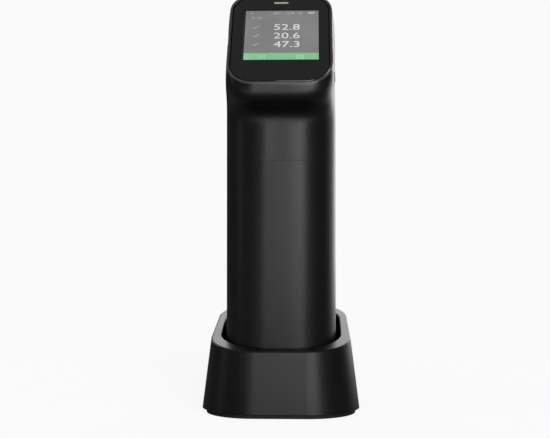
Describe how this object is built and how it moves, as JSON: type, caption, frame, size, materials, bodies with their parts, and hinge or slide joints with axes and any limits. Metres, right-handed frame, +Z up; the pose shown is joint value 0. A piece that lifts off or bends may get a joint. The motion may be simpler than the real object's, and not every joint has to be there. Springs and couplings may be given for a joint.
{
  "type": "handheld sphere spectrophotometer in calibration cradle",
  "caption": "Handheld colour-measuring instrument with a slanted screen on a head bent forward, standing nose down in a flared cradle that holds its white calibration tile.",
  "frame": {"origin": "on the bench, under the middle of the cradle's foot pad", "axes": "+Z up along the handle, -Y the side the screen faces, +X to the right of a person reading the screen"},
  "size_m": [0.0768, 0.0906, 0.2079],
  "materials": {
    "cradle_plastic": "satin black, fine moulded texture",
    "case_plastic": "satin black, fine moulded texture",
    "nose_plastic": "matt black",
    "key_plastic": "soft-touch black",
    "flap_rubber": "matt black",
    "pad_rubber": "matt dark grey",
    "seat_foam": "closed-cell, matt",
    "tile_ceramic": "glazed white",
    "window_glass": "polished, blacked border",
    "display_panel": "polished",
    "frame_steel": "plain sheet",
    "light_guide": "clear, slightly warm",
    "lamp_resin": "clear",
    "circuit_board": "solder mask, semi-gloss",
    "chip_resin": "matt",
    "screw_steel": "blackened zinc",
    "socket_steel": "plain",
    "sphere_coating": "matt white",
    "chassis_alloy": "as formed",
    "spectrometer_alloy": "black anodised",
    "tube_alloy": "black anodised",
    "lens_glass": "polished",
    "grating_mirror": "polished",
    "sensor_ceramic": "sealed package",
    "cell_sleeve": "shrink sleeve",
    "strap_plastic": "plain"
  },
  "bodies": {
    "cradle": {"cradle_shell": "cradle_plastic", "cradle_bottom_plate": "nose_plastic", "cradle_foot_pad": "pad_rubber", "cradle_screws": "screw_steel", "tile_holder": "nose_plastic", "white_tile": "tile_ceramic", "tile_cushion": "seat_foam", "seat_ring": "seat_foam"},
    "instrument": {"front_shell": "case_plastic", "rear_shell": "case_plastic", "case_screws": "screw_steel", "nose_plate": "nose_plastic", "nose_screws": "screw_steel", "display_window": "window_glass", "window_gasket": "seat_foam", "lcd_module": "display_panel", "lcd_frame": "frame_steel", "light_pipe": "light_guide", "status_led": "lamp_resin", "main_board": "circuit_board", "board_chips": "chip_resin", "board_screws": "screw_steel", "power_switch": "chip_resin", "usb_socket": "socket_steel", "buzzer": "chip_resin", "sphere_lower": "sphere_coating", "sphere_upper": "sphere_coating", "sphere_screws": "screw_steel", "light_board": "circuit_board", "light_leds": "lamp_resin", "view_tube": "tube_alloy", "view_lens": "lens_glass", "chassis": "chassis_alloy", "spectrometer_body": "spectrometer_alloy", "spectrometer_cover": "spectrometer_alloy", "spectrometer_screws": "screw_steel", "slit_plate": "frame_steel", "grating": "grating_mirror", "sensor_board": "circuit_board", "sensor_array": "sensor_ceramic", "battery_pack": "cell_sleeve", "battery_straps": "strap_plastic", "switch_board": "circuit_board", "switch_board_screws": "screw_steel", "measure_switch": "chip_resin"},
    "port_ring": {"port_ring": "nose_plastic"},
    "measure_key": {"measure_key": "key_plastic"},
    "power_key": {"power_key": "key_plastic"},
    "usb_flap": {"usb_flap": "flap_rubber"}
  },
  "joints": [
    {"name": "instrument_lift", "type": "slide", "parent": "cradle", "child": "instrument", "axis": [0, 0, 1], "range_m": [0, 0.06]},
    {"name": "port_ring_twist", "type": "hinge", "parent": "instrument", "child": "port_ring", "pos_m": [0, 0, 0.012], "axis": [0, 0, 1], "range_deg": [0, 50]},
    {"name": "measure_key_press", "type": "slide", "parent": "instrument", "child": "measure_key", "axis": [0, -1, 0], "range_m": [0, 0.0012], "stiffness_N_per_m": 1500, "springref_m": -0.0005},
    {"name": "power_key_press", "type": "slide", "parent": "instrument", "child": "power_key", "axis": [-1, 0, 0], "range_m": [0, 0.0005], "stiffness_N_per_m": 3000, "springref_m": -0.0003},
    {"name": "usb_flap_swing", "type": "hinge", "parent": "instrument", "child": "usb_flap", "pos_m": [-0.0253, -0.02775, 0.16932], "axis": [0, -0.7727, 0.6347], "range_deg": [0, 90], "stiffness_Nm_per_rad": 0.002}
  ]
}
